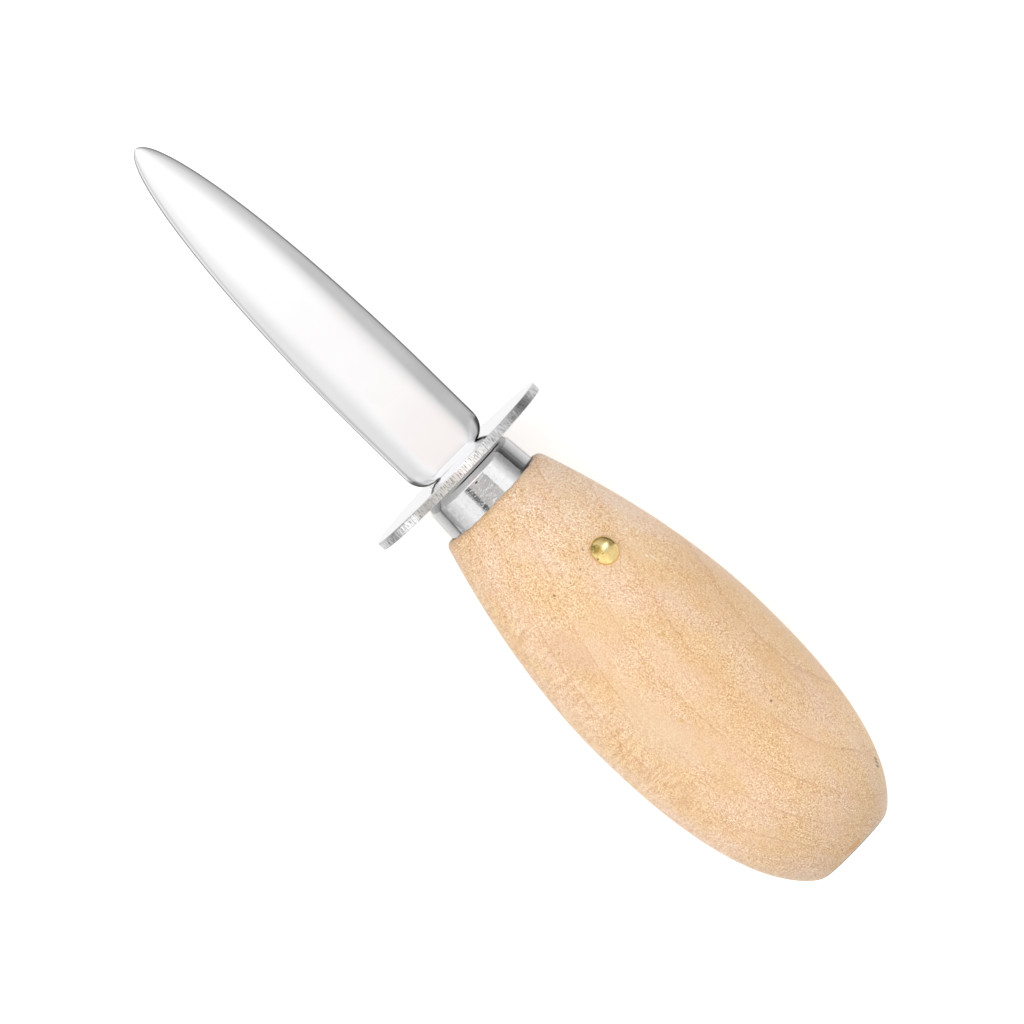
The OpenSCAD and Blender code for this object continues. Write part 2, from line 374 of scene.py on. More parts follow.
def build_handle():
    """The bore's lip, the front's rounded corner, the belly, and the butt's rounded corner and face."""
    steps = 220
    crowding = 1.4
    lip_r = FERRULE_R + LIP_CUT
    profile = [(FRONT_X - FERRULE_SUNK, FERRULE_R)]
    profile += bend((FRONT_X - LIP_CUT, FERRULE_R), (FRONT_X, FERRULE_R), (FRONT_X, lip_r), 6)
    corner_end = (FRONT_X - FRONT_ROUND, handle_r(FRONT_ROUND))
    profile += bend((FRONT_X, lip_r), (FRONT_X, handle_r(0)), corner_end, 14)[1:]
    run = HANDLE_L - FRONT_ROUND - BUTT_ROUND
    for i in range(1, steps):
        d = FRONT_ROUND + run * (1 - (1 - i / steps) ** crowding)
        profile.append((FRONT_X - d, handle_r(d)))
    corner_start = (BUTT_X + BUTT_ROUND, handle_r(HANDLE_L - BUTT_ROUND))
    profile += bend(corner_start, (BUTT_X, BUTT_R), (BUTT_X, BUTT_R - BUTT_ROUND), 12)
    profile += [(BUTT_X, share * BUTT_R) for share in (0.88, 0.6, 0.3, 0.02)]
    return turned("handle_turned", profile, 360, lip_shift)


# Nodes


def new_material(name):
    material = bpy.data.materials.new(name)
    material.use_nodes = True
    return material, material.node_tree, material.node_tree.nodes["Principled BSDF"]


def tone(r, g, b):
    """A colour of 0 to 255, as it shows, in Blender's linear values."""
    out = [v / 255 / 12.92 if v <= 10 else ((v / 255 + 0.055) / 1.055) ** 2.4 for v in (r, g, b)]
    return (*out, 1)


def place(tree, scale):
    """Object coordinates in millimetres, stretched by scale."""
    coords = tree.nodes.new("ShaderNodeTexCoord")
    mapping = tree.nodes.new("ShaderNodeMapping")
    mapping.inputs["Scale"].default_value = [s / MM for s in scale]
    tree.links.new(coords.outputs["Object"], mapping.inputs["Vector"])
    return mapping.outputs["Vector"]


def noise(tree, scale, detail=3, roughness=0.5, distortion=0):
    """Noise whose cells are 1/scale millimetres long along each axis."""
    node = tree.nodes.new("ShaderNodeTexNoise")
    node.inputs["Scale"].default_value = 1
    node.inputs["Detail"].default_value = detail
    node.inputs["Roughness"].default_value = roughness
    node.inputs["Distortion"].default_value = distortion
    tree.links.new(place(tree, scale), node.inputs["Vector"])
    return node.outputs["Fac"]


def span(tree, value, low, high, to_low=0, to_high=1):
    """Maps low..high to to_low..to_high, held at both ends."""
    node = tree.nodes.new("ShaderNodeMapRange")
    for name, number in (("From Min", low), ("From Max", high), ("To Min", to_low), ("To Max", to_high)):
        node.inputs[name].default_value = number
    tree.links.new(value, node.inputs["Value"])
    return node.outputs["Result"]


def span_mm(tree, value, low, high, to_low=0, to_high=1):
    """The same for a place or a distance, with low and high in millimetres."""
    return span(tree, value, low * MM, high * MM, to_low, to_high)


def math_node(tree, operation, a, b=0.0):
    node = tree.nodes.new("ShaderNodeMath")
    node.operation = operation
    for slot, value in zip(node.inputs, (a, b)):
        if isinstance(value, (int, float)):
            slot.default_value = value
        else:
            tree.links.new(value, slot)
    return node.outputs["Value"]


def chain(tree, operation, first, others):
    for other in others:
        first = math_node(tree, operation, first, other)
    return first


def times(tree, first, *others):
    return chain(tree, "MULTIPLY", first, others)


def total(tree, first, *others):
    return chain(tree, "ADD", first, others)


def greatest(tree, first, *others):
    return chain(tree, "MAXIMUM", first, others)


def size_of(tree, value):
    """The value without its sign."""
    return math_node(tree, "ABSOLUTE", value)


def mix(tree, factor, a, b, blend="MIX"):
    node = tree.nodes.new("ShaderNodeMix")
    node.data_type = "RGBA"
    node.blend_type = blend
    for slot, value in ((node.inputs["Factor"], factor), (node.inputs["A"], a), (node.inputs["B"], b)):
        if isinstance(value, (int, float, tuple)):
            slot.default_value = value
        else:
            tree.links.new(value, slot)
    return node.outputs["Result"]


def bump(tree, shader, height, strength, distance):
    node = tree.nodes.new("ShaderNodeBump")
    node.inputs["Strength"].default_value = strength
    node.inputs["Distance"].default_value = distance
    tree.links.new(height, node.inputs["Height"])
    tree.links.new(node.outputs["Normal"], shader.inputs["Normal"])


def metal(name, colour, roughness):
    material, tree, shader = new_material(name)
    shader.inputs["Base Color"].default_value = colour
    shader.inputs["Metallic"].default_value = 1
    shader.inputs["Roughness"].default_value = roughness
    return material, tree, shader


def knife_place(tree):
    """The place along the knife, across it, and above its axis."""
    coords = tree.nodes.new("ShaderNodeTexCoord")
    parts = tree.nodes.new("ShaderNodeSeparateXYZ")
    tree.links.new(coords.outputs["Object"], parts.inputs["Vector"])
    z = math_node(tree, "SUBTRACT", parts.outputs["Z"], AXIS_Z)
    return parts.outputs["X"], parts.outputs["Y"], z


def distance(tree, y, z):
    """How far a place across and above is from a line along the knife."""
    return math_node(tree, "SQRT", total(tree, times(tree, y, y), times(tree, z, z)))


def spot(tree, x, y, at_x, at_y, long, wide):
    """1 at a place and 0 beyond the small ellipse round it, all in millimetres."""
    dx = times(tree, math_node(tree, "SUBTRACT", x, at_x * MM), 1 / (long * MM))
    dy = times(tree, math_node(tree, "SUBTRACT", y, at_y * MM), 1 / (wide * MM))
    return span(tree, total(tree, times(tree, dx, dx), times(tree, dy, dy)), 1, 0.2)


# Materials

STEEL = tone(222, 222, 223)

# Painted shade in the two notches between the blade's heel and the guard: place across, half length
# along the knife and half width across in mm, and how dark it is. On the guard's face it is this high.
CREVICES = ((-5.3, 0.32, 0.9, 0.9), (3.95, 0.34, 0.9, 1.0))
CREVICE_HALF_H = 1.2


def blade_steel():
    """Finely polished, with faint lines across the blade from the belt.

    The thin edge is painted dark round the heel's corners, along the right edge near the heel and along the
    left edge, as a painted dark reflection.
    """
    material, tree, shader = metal("blade_steel", STEEL, 0.15)
    x, y, z = knife_place(tree)
    heel = HEEL_X / MM
    off_middle = size_of(tree, z)
    # Painted dark reflection on the thin edge: round the heel's corners, along the right edge near the
    # heel, and along the left edge.
    corner = times(
        tree,
        span_mm(tree, x, heel + 3.6, heel + 2.4),
        span_mm(tree, off_middle, 0.72, 0.5),
        span_mm(tree, size_of(tree, y), 2.4, 3.2),
    )
    right_edge = times(
        tree,
        span_mm(tree, x, heel + 9, heel + 3),
        span_mm(tree, y, -2, -4),
        span_mm(tree, off_middle, 0.4, 0.25),
        0.6,
    )
    left_edge = times(tree, span_mm(tree, y, 1, 2), span_mm(tree, off_middle, 0.3, 0.2), 0.45)
    dark = greatest(tree, corner, right_edge, left_edge)
    colour = mix(tree, times(tree, dark, 0.85), STEEL, tone(70, 68, 66))
    # Painted shade in the notches beside the heel.
    for at_y, long, wide, strength in CREVICES:
        notch_shade = times(tree, spot(tree, x, y, heel, at_y, long, wide), strength)
        colour = mix(tree, notch_shade, colour, tone(40, 38, 36))
    tree.links.new(colour, shader.inputs["Base Color"])
    lines = noise(tree, (9, 0.7, 0.7), 4, 0.6)
    cloud = noise(tree, (0.12, 0.12, 0.12))
    roughness = total(
        tree,
        span(tree, lines, 0.3, 0.7, 0.11, 0.17),
        span(tree, cloud, 0.35, 0.65, -0.02, 0.03),
    )
    tree.links.new(roughness, shader.inputs["Roughness"])
    bump(tree, shader, lines, 0.12, 0.004 * MM)
    return material


def guard_steel():
    """A bright front face, a duller back, and a rim with the blanking die's torn streaks and painted shade
    on its left side.
    """
    material, tree, shader = metal("guard_steel", tone(228, 228, 229), 0.2)
    x, y, z = knife_place(tree)
    rim = span(tree, distance(tree, y, z), GUARD_R - 0.12 * MM, GUARD_R - 0.02 * MM)
    back = span(tree, x, GUARD_BACK_X + 0.12 * MM, GUARD_BACK_X + 0.02 * MM)
    front = span(tree, x, HEEL_X - 0.05 * MM, HEEL_X - 0.01 * MM)
    streaks = noise(tree, (1.0, 5.4, 5.4), 3, 0.65, 0.3)
    blotches = noise(tree, (0.5, 0.5, 0.5), 3, 0.6)
    torn = times(tree, rim, streaks)
    patchy = times(tree, rim, span(tree, blotches, 0.45, 0.62))
    # Painted shade: the rim's left side is a darker warm grey, for a dimmer reflection there.
    rim_painted_shade = times(tree, rim, span_mm(tree, y, -0.3, 2.0), span_mm(tree, y, 10.4, 9.8))
    shade = mix(tree, times(tree, patchy, 0.3), tone(246, 246, 247), tone(196, 194, 192))
    shade = mix(tree, times(tree, rim_painted_shade, 0.75), shade, tone(194, 189, 183))
    shade = mix(tree, span(tree, torn, 0.5, 0.64, 0, 0.8), shade, tone(96, 95, 94))
    shade = mix(tree, back, shade, tone(196, 196, 196))
    # Painted shade in the notches, on the guard's front face.
    for at_y, _, wide, strength in CREVICES:
        notch_shade = times(tree, front, spot(tree, z, y, 0, at_y, CREVICE_HALF_H, wide), strength)
        shade = mix(tree, notch_shade, shade, tone(46, 44, 42))
    tree.links.new(shade, shader.inputs["Base Color"])
    roughness = total(tree, span(tree, rim, 0, 1, 0.05, 0.19), times(tree, back, 0.2))
    tree.links.new(roughness, shader.inputs["Roughness"])
    bump(tree, shader, torn, 0.6, 0.04 * MM)
    return material


def ferrule_steel():
    """Bright polish with fine scratches round the tube, painted shade in a ragged ring behind the guard, a
    nick, and a darker line at the wood.
    """
    material, tree, shader = metal("ferrule_steel", STEEL, 0.06)
    x, y, z = knife_place(tree)
    # Painted shade: a ragged dark ring about a millimetre behind the guard, over part of its width.
    from_seam = size_of(tree, math_node(tree, "SUBTRACT", GUARD_BACK_X - 0.98 * MM, x))
    seam_painted_shade = times(
        tree,
        span_mm(tree, from_seam, 0.14, 0.08),
        span_mm(tree, y, 4.2, 1.2),
        span_mm(tree, y, -7.3, -6.6),
    )
    ragged = noise(tree, (0.3, 1.1, 1.1), 3, 0.6)
    seam_painted_shade = times(tree, seam_painted_shade, span(tree, ragged, 0.28, 0.36))
    nick = spot(tree, x, y, 4.25, -0.05, 0.17, 0.42)
    # Darker in a thin line at the wood, on the right.
    at_wood = times(tree, span_mm(tree, x, 0.55, 0.35), span_mm(tree, y, -5.7, -6.3), 0.8)
    seam_shade_and_marks = greatest(tree, seam_painted_shade, nick, at_wood)
    cloudy = span(tree, noise(tree, (1.6, 1.9, 1.9), 3, 0.7, 0.5), 0.5, 0.7, 0, 0.35)
    colour = mix(tree, cloudy, tone(224, 224, 225), tone(190, 190, 191))
    colour = mix(tree, times(tree, seam_shade_and_marks, 0.95), colour, tone(30, 29, 28))
    tree.links.new(colour, shader.inputs["Base Color"])
    rings = noise(tree, (7, 0.5, 0.5), 4, 0.6)
    roughness = total(tree, span(tree, rings, 0.35, 0.7, 0.045, 0.1), times(tree, seam_shade_and_marks, 0.4))
    tree.links.new(roughness, shader.inputs["Roughness"])
    ripples = noise(tree, (1.3, 1.1, 1.1), 2)
    dimples = noise(tree, (3.4, 2.6, 2.6), 2, 0.6)
    height = total(tree, times(tree, rings, 0.045), ripples, times(tree, dimples, 0.075))
    bump(tree, shader, height, 1, 0.011 * MM)
    return material


# Stains on the pin's head, a painted highlight and painted reflections: place along from its middle and
# across the knife in mm, half length and half width in mm, strength, colour.
PIN_MARKS = (
    # A painted highlight.
    (0.46, -6.6, 0.85, 0.82, 1.0, (255, 243, 190)),
    # Stains.
    (1.3, -5.35, 0.95, 0.85, 1.0, (108, 92, 42)),
    (0.75, -5.6, 0.7, 1.0, 0.6, (170, 138, 62)),
    # Painted reflections along the head's right edge: lighter towards the tip, then browner like the
    # mirrored wood.
    (1.95, -6.75, 0.5, 0.6, 0.9, (255, 216, 140)),
    (1.35, -7.45, 0.8, 0.55, 0.75, (228, 190, 120)),
    (0.45, -7.75, 0.85, 0.42, 0.75, (228, 190, 120)),
    # Painted reflections: the wood at the head's left edge, and the camera as a small dark spot in the
    # middle.
    (-0.1, -4.45, 0.2, 0.22, 0.8, (140, 92, 36)),
    (0, -5.65, 0.14, 0.3, 0.6, (120, 116, 40)),
)


def pin_brass():
    """Pale polished brass, stained on one side of its head, with a painted highlight and painted
    reflections.
    """
    material, tree, shader = metal("pin_brass", tone(240, 216, 150), 0.12)
    x, y, z = knife_place(tree)
    mottle = noise(tree, (1.9, 1.9, 1.9), 3, 0.65)
    colour = mix(tree, span(tree, mottle, 0.5, 0.72, 0, 0.5), tone(243, 215, 148), tone(206, 164, 88))
    middle = (PIN_X + PIN_MOVE) / MM
    for along, at_y, long, wide, strength, mark_colour in PIN_MARKS:
        mark = times(tree, spot(tree, x, y, middle + along, at_y, long, wide), strength)
        mark = times(tree, mark, span(tree, mottle, 0.3, 0.5, 0.5, 1))
        colour = mix(tree, mark, colour, tone(*mark_colour))
    tree.links.new(colour, shader.inputs["Base Color"])
    tree.links.new(span(tree, mottle, 0.4, 0.7, 0.1, 0.22), shader.inputs["Roughness"])
    bump(tree, shader, mottle, 0.6, 0.04 * MM)
    return material


# Marks in the wood: place along and across in mm, half length and half width in mm, strength, colour.
DARK_SPECK = (104, 66, 30)
SCUFF = (122, 92, 54)
RESIN = (226, 176, 84)
WOOD_MARKS = (
    (-24.5, 9.2, 6.5, 2.8, 0.3, (218, 168, 112)),
    (-42.0, 8.4, 9.5, 3.6, 0.5, (243, 212, 178)),
    (-51.4, -7.2, 0.22, 0.2, 0.9, DARK_SPECK),
    (-16.2, 4.2, 0.24, 0.2, 0.8, DARK_SPECK),
    (-16.6, 1.1, 0.2, 0.16, 0.6, DARK_SPECK),
    (-16.2, -1.5, 0.26, 0.16, 0.6, DARK_SPECK),
    (-14.5, -3.9, 0.3, 0.18, 0.6, DARK_SPECK),
    (-69.9, -11.95, 0.42, 0.2, 0.8, SCUFF),
    (-70.4, -11.7, 0.5, 0.16, 0.8, SCUFF),
    (-70.9, -11.35, 0.4, 0.2, 0.8, SCUFF),
    (-32.3, -3.1, 0.5, 0.35, 0.7, RESIN),
    (-33.1, 2.2, 0.45, 0.35, 0.7, RESIN),
    (-43.5, 4.5, 0.45, 0.35, 0.6, RESIN),
    (-22.3, -10.1, 0.35, 0.2, 0.8, (255, 246, 230)),
    (-23.2, -10.6, 0.9, 0.13, 0.6, (255, 242, 224)),
    (-76.6, -0.1, 0.5, 2.2, 0.5, (232, 160, 82)),
)

# The growth layers are rings round this line beside the handle's axis.
PITH_Y = 8.8 * MM
LAYER_W = 3.33 * MM
LAYER_WANDER = 0.9 * MM

# The grain makes the wood lighter or darker by about as much in red, green and blue.
GRAIN_DARK = (0.655, 0.4, 0.16, 1)
GRAIN_LIGHT = (1.345, 1.6, 1.84, 1)
# Painted shade towards the butt.
BUTT_PAINTED_SHADE = (0.8, 0.82, 0.84, 1)
# Painted light on the handle's right side.
FAR_SIDE_PAINTED_LIGHT = (1.09, 1.13, 1.19, 1)


def growth_layers(tree, y, z):
    """How far through its layer a place is: late wood at the end, with a thin dark line."""
    wander = noise(tree, (0.035, 0.09, 0.09))
    from_pith = distance(tree, math_node(tree, "SUBTRACT", y, PITH_Y), z)
    from_pith = total(tree, from_pith, span(tree, wander, 0, 1, -LAYER_WANDER, LAYER_WANDER))
    layer = math_node(tree, "FRACT", times(tree, from_pith, 1 / LAYER_W))
    layer = math_node(tree, "FRACT", total(tree, layer, 0.5))
    end = span(tree, layer, 1.0, 0.975)
    faint = noise(tree, (0.07, 0.15, 0.15), 1)
    late = times(tree, span(tree, layer, 0.4, 0.97), end)
    line = times(tree, span(tree, layer, 0.92, 0.97), end, span(tree, faint, 0.4, 0.62, 0.1, 0.36))
    return late, line


def wood_colour(tree, x, y, z):
    """The wood before its grain: pale at the front, with warm patches, layers and freckles."""
    late, line = growth_layers(tree, y, z)
    patches = noise(tree, (0.09, 0.16, 0.16), 2)
    colour = mix(tree, span(tree, patches, 0.36, 0.64), tone(243, 203, 155), tone(246, 209, 176))
    pale = times(tree, span_mm(tree, x, -24, -8), span_mm(tree, y, 6, -9), 0.5)
    colour = mix(tree, pale, colour, tone(243, 216, 192))
    warm = noise(tree, (0.22, 0.4, 0.4), 2)
    colour = mix(tree, span(tree, warm, 0.5, 0.72, 0, 0.34), colour, tone(241, 194, 138))
    colour = mix(tree, times(tree, late, 0.25), colour, tone(238, 188, 138))
    colour = mix(tree, line, colour, tone(205, 150, 104))
    near_front = span(tree, x, FRONT_X - 30 * MM, FRONT_X - 8 * MM, 0, 0.09)
    freckles = total(tree, noise(tree, (0.5, 0.75, 0.75), 2, 0.6), near_front)
    return mix(tree, span(tree, freckles, 0.62, 0.78, 0, 0.34), colour, tone(228, 180, 110))


def wood_grain(tree, x, y, speckle):
    """Fine specks, fibres along the handle and rays: stronger in places, at the ends and at the left."""
    rays = noise(tree, (1.1, 6.5, 0.3), 2)
    fibres = noise(tree, (0.14, 3.6, 3.6), 3, 0.6)
    areas = noise(tree, (0.12, 0.2, 0.2), 2)
    from_middle = size_of(tree, total(tree, x, 39 * MM))
    contrast = total(
        tree,
        span(tree, areas, 0.35, 0.62, 0.5, 1.2),
        span_mm(tree, from_middle, 12, 28, 0, 0.25),
        span_mm(tree, y, 6, 11, 0, 0.3),
    )
    hatch = noise(tree, (1.7, 0.2, 0.4), 2, 0.6)
    hatch = times(tree, span(tree, hatch, 0.3, 0.7, 0.13, -0.13), span_mm(tree, y, 8.5, 12.5))
    grain = total(
        tree,
        span(tree, speckle, 0.25, 0.75, 0.58, -0.58),
        span(tree, fibres, 0.3, 0.7, 0.04, -0.04),
        span(tree, rays, 0.3, 0.7, 0.06, -0.06),
    )
    grain = total(tree, times(tree, grain, contrast), hatch, 0.5)
    return mix(tree, grain, GRAIN_DARK, GRAIN_LIGHT)


def handle_wood():
    """Pale close-grained wood, sawn so that the growth layers show as arcs on the upper side."""
    material, tree, shader = new_material("handle_wood")
    x, y, z = knife_place(tree)
    speckle = noise(tree, (4.8, 6, 6), 2, 0.75, 0.6)
    pores = noise(tree, (1.3, 3.4, 3.4), 1)
    colour = wood_colour(tree, x, y, z)
    colour = mix(tree, 1.0, colour, wood_grain(tree, x, y, speckle), "MULTIPLY")
    colour = mix(tree, span(tree, pores, 0.74, 0.8, 0, 0.6), colour, tone(170, 112, 62))
    for at_x, at_y, long, wide, strength, mark_colour in WOOD_MARKS:
        mark = times(tree, spot(tree, x, y, at_x, at_y, long, wide), strength)
        colour = mix(tree, mark, colour, tone(*mark_colour))
    # Painted shade: darker towards the butt.
    colour = mix(tree, span(tree, x, -62 * MM, BUTT_X), colour, BUTT_PAINTED_SHADE, "MULTIPLY")
    # Painted light: the right side is lighter and paler round the middle of the handle.
    from_middle = size_of(tree, total(tree, x, 42 * MM))
    far_side_painted_light = times(tree, span_mm(tree, y, 2, -14), span_mm(tree, from_middle, 11, 25))
    colour = mix(tree, far_side_painted_light, colour, FAR_SIDE_PAINTED_LIGHT, "MULTIPLY")
    butt_edge = times(
        tree,
        span(tree, x, BUTT_X + 0.26 * MM, BUTT_X + 0.08 * MM, 0, 0.85),
        span(tree, distance(tree, y, z), BUTT_R - 1.1 * MM, BUTT_R - 0.7 * MM),
    )
    colour = mix(tree, butt_edge, colour, tone(104, 94, 78))
    tree.links.new(colour, shader.inputs["Base Color"])
    tree.links.new(span(tree, speckle, 0.3, 0.7, 0.48, 0.6), shader.inputs["Roughness"])
    shader.inputs["Sheen Weight"].default_value = 0.3
    shader.inputs["Sheen Roughness"].default_value = 0.4
    pits = times(tree, span(tree, pores, 0.66, 0.8), 0.6)
    bump(tree, shader, math_node(tree, "SUBTRACT", speckle, pits), 0.35, 0.03 * MM)
    return material


def dress(piece, node, material):
    piece.data.materials.append(material)
    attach(piece, "root")
    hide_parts(node)


dress(build_blade(), "blade", blade_steel())
dress(build_guard(), "guard", guard_steel())
dress(build_ferrule(), "ferrule", ferrule_steel())
dress(build_handle(), "handle", handle_wood())
dress(build_pin(), "brass_pin", pin_brass())


# Floor and world

FLOOR_HALF = 6.0
FLOOR_LIFT = 0.5
FLOOR_MIRRORED_LIFT = 0.1


def build_floor():
    """A plain white sweep. Its lift makes it the white background, and leaves the knife's soft shadow."""
    far = FLOOR_HALF
    corners = [(-far, -far, 0), (far, -far, 0), (far, far, 0), (-far, far, 0)]
    floor = mesh_object("floor", corners, [(0, 1, 2, 3)])
    material, tree, shader = new_material("floor_white")
    shader.inputs["Base Color"].default_value = (0.9, 0.9, 0.9, 1)
    shader.inputs["Roughness"].default_value = 1
    shader.inputs["Specular IOR Level"].default_value = 0
    shader.inputs["Emission Color"].default_value = (1, 1, 1, 1)
    path = tree.nodes.new("ShaderNodeLightPath")
    shiny = greatest(tree, path.outputs["Is Glossy Ray"], path.outputs["Is Transmission Ray"])
    lift = times(tree, path.outputs["Is Camera Ray"], FLOOR_LIFT)
    lift = total(tree, lift, times(tree, shiny, FLOOR_MIRRORED_LIFT))
    tree.links.new(lift, shader.inputs["Emission Strength"])
    floor.data.materials.append(material)


# What shiny surfaces see of the studio by the angle from overhead, in degrees, negative towards -Y:
# the tent that closes round the knife, the softbox that reaches in from the tip's side, the open
# studio at the butt's side, and the hood over the blade's point.
TENT = (
    (-180, 0.9),
    (-92, 0.26),
    (-80, 0.3),
    (-72, 0.48),
    (-54, 0.58),
    (-46, 0.62),
    (-38, 0.61),
    (-33, 0.65),
    (-29, 0.86),
    (-23, 1.08),
    (-10, 1.32),
    (0, 1.38),
    (10, 1.4),
    (27, 1.16),
    (40, 0.93),
    (46, 0.8),
    (51, 0.5),
    (56, 0.58),
    (62, 0.95),
    (68, 0.95),
    (73, 1.2),
    (78, 1.4),
    (98, 1.4),
    (108, 0.75),
    (180, 0.9),
)
SOFTBOX = (
    (-180, 0.9),
    (-92, 0.38),
    (-82, 0.42),
    (-75, 0.52),
    (-70, 0.7),
    (-60, 1.0),
    (-51, 1.28),
    (-33, 1.22),
    (-25, 1.18),
    (0, 1.34),
    (25, 1.0),
    (38, 1.14),
    (55, 1.2),
    (65, 1.04),
    (75, 0.87),
    (92, 0.6),
    (180, 0.9),
)
OPEN_SIDE = (
    (-180, 0.9),
    (-95, 0.9),
    (-60, 0.95),
    (-38, 0.92),
    (-20, 1.12),
    (0, 1.3),
    (60, 1.1),
    (95, 0.9),
    (180, 0.9),
)
HOOD = (
    (-180, 0.5),
    (-84, 0.45),
    (-60, 0.7),
    (-48, 0.78),
    (-36, 0.85),
    (-24, 1.1),
    (-12, 1.38),
    (0, 1.45),
    (18, 1.4),
    (32, 1.22),
    (44, 1.12),
    (51, 0.84),
    (56, 0.86),
    (62, 1.15),
    (70, 1.25),
    (78, 0.95),
    (88, 0.8),
    (180, 0.9),
)

# The bands hold values of 0 to 1, and are lifted by this.
PEAK = 3.2

# Where the softbox, the open studio and the lamp start and end, by how far a direction points to the
# tip, and the lamp's sides in degrees. Each fades from the first number to the second.
SOFTBOX_START = (-0.03, 0.07)
SOFTBOX_END = (0.6, 0.4)
OPEN_SIDE_START = (-0.1, -0.18)
LAMP_START = (0.13, 0.2)
LAMP_END = (0.85, 0.75)
LAMP_LOW_SIDE = (-80, -70)
LAMP_HIGH_SIDE = (-24, -32)

# The even light that falls on the knife, and the white that the camera sees.
DOME = (0.76, 0.76, 0.76, 1)
WHITE = (1, 1, 1, 1)


def band(tree, angle, stops):
    """The light at an angle in radians, from stops in degrees."""
    ramp = tree.nodes.new("ShaderNodeValToRGB")
    tree.links.new(span(tree, angle, -math.pi, math.pi), ramp.inputs["Fac"])
    elements = ramp.color_ramp.elements
    while len(elements) < len(stops):
        elements.new(0.5)
    for element, (degrees, value) in zip(elements, stops):
        element.position = (degrees + 180) / 360
        element.color = (value / PEAK, value / PEAK, value / PEAK, 1)
    return ramp.outputs["Color"]


def build_world():
    """A plain, even dome for light, and for shiny surfaces a tent with a softbox and a lamp."""
    world = bpy.data.worlds.new("studio")
    bpy.context.scene.world = world
    world.use_nodes = True
    tree = world.node_tree
    background = tree.nodes["Background"]
    coords = tree.nodes.new("ShaderNodeTexCoord")
    parts = tree.nodes.new("ShaderNodeSeparateXYZ")
    tree.links.new(coords.outputs["Generated"], parts.inputs["Vector"])
    side = math_node(tree, "ARCTAN2", parts.outputs["Y"], parts.outputs["Z"])
    to_tip = parts.outputs["X"]
    within = times(tree, span(tree, to_tip, *SOFTBOX_START), span(tree, to_tip, *SOFTBOX_END))
    seen = mix(tree, within, band(tree, side, TENT), band(tree, side, SOFTBOX))
    seen = mix(tree, span(tree, to_tip, *OPEN_SIDE_START), seen, band(tree, side, OPEN_SIDE))
    lamp = times(tree, span(tree, to_tip, *LAMP_START), span(tree, to_tip, *LAMP_END))
    for start, end in (LAMP_LOW_SIDE, LAMP_HIGH_SIDE):
        lamp = times(tree, lamp, span(tree, side, math.radians(start), math.radians(end)))
    seen = mix(tree, lamp, seen, WHITE)
    seen = mix(tree, 1.0, seen, (PEAK, PEAK, PEAK, 1), "MULTIPLY")
    path = tree.nodes.new("ShaderNodeLightPath")
    clear = greatest(tree, path.outputs["Is Camera Ray"], path.outputs["Is Transmission Ray"])
    plain_light = mix(tree, clear, DOME, WHITE)
    light = mix(tree, path.outputs["Is Glossy Ray"], plain_light, seen)
    tree.links.new(light, background.inputs["Color"])
    background.inputs["Strength"].default_value = 1


# Cards round the knife that only shiny surfaces see


def reflected_only(piece, material):
    piece.data.materials.append(material)
    piece.visible_camera = False
    piece.visible_diffuse = False
    piece.visible_shadow = False


def glow_material(name):
    """A material with one glow and nothing else yet, and the input that its surface takes."""
    material = bpy.data.materials.new(name)
    material.use_nodes = True
    tree = material.node_tree
    tree.nodes.clear()
    glow = tree.nodes.new("ShaderNodeEmission")
    surface = tree.nodes.new("ShaderNodeOutputMaterial").inputs["Surface"]
    return material, tree, glow, surface


def card(name, corners, colour):
    material, tree, glow, surface = glow_material(name)
    glow.inputs["Color"].default_value = (*colour, 1)
    tree.links.new(glow.outputs["Emission"], surface)
    reflected_only(mesh_object(name, corners, [(0, 1, 2, 3)]), material)


def grey(value):
    return (value, value, value)


def overhead(name, x, y, top, colour):
    """A level card between two places along the knife and two across it."""
    card(name, [(x[0], y[0], top), (x[1], y[0], top), (x[1], y[1], top), (x[0], y[1], top)], colour)


# The flag and the strips beside the blade: each edge, and the grey from it to the next. The strips at the
# right are painted shade of the floor, deepening towards the flag, that only shiny surfaces see.
BESIDE_BLADE = (-0.03, 0.6)
FLAG_Y = -0.075
FLAG_NAMES = ("flag_low", "flag_middle", "flag_top")
FLAG_STEPS = ((0, 0.25), (0.009, 0.14), (0.0175, 0.085), (0.0255, None))
SWEEP_Z = 0.0004
SWEEP_RIGHT = (
    (-0.075, 0.22),
    (-0.068, 0.34),
    (-0.06, 0.46),
    (-0.052, 0.55),
    (-0.044, 0.63),
    (-0.037, 0.72),
    (-0.031, 0.8),
    (-0.025, 0.88),
    (-0.018, None),
)
SWEEP_LEFT = (
    (0.018, 0.9),
    (0.024, 0.83),
    (0.031, 0.76),
    (0.038, 0.68),
    (0.045, 0.58),
    (0.052, 0.44),
    (0.058, 0.2),
    (0.072, 0.34),
    (0.085, 0.43),
    (0.11, 0.48),
    (0.16, 0.54),
    (0.3, 0.6),
    (0.9, None),
)

# Strips of floor behind the guard, which its rim mirrors.
BEHIND_GUARD = (-0.03, 0.004)
RIM_Z = 0.0006
RIM_NAMES = ("sweep_rim_near", "sweep_rim", "sweep_rim_far")
RIM_STEPS = ((0.075, 0.85), (0.11, 1.05), (0.17, 1.3), (0.9, None))

# Two strips of floor in front of the guard, beside the blade's heel.
GUARD_FOOT = (HEEL_X + 0.1 * MM, HEEL_X + 3 * MM)
FOOT_Z = 0.0005
FOOT_Y = (0.0055, 0.018)
FOOT_GREY = 0.95

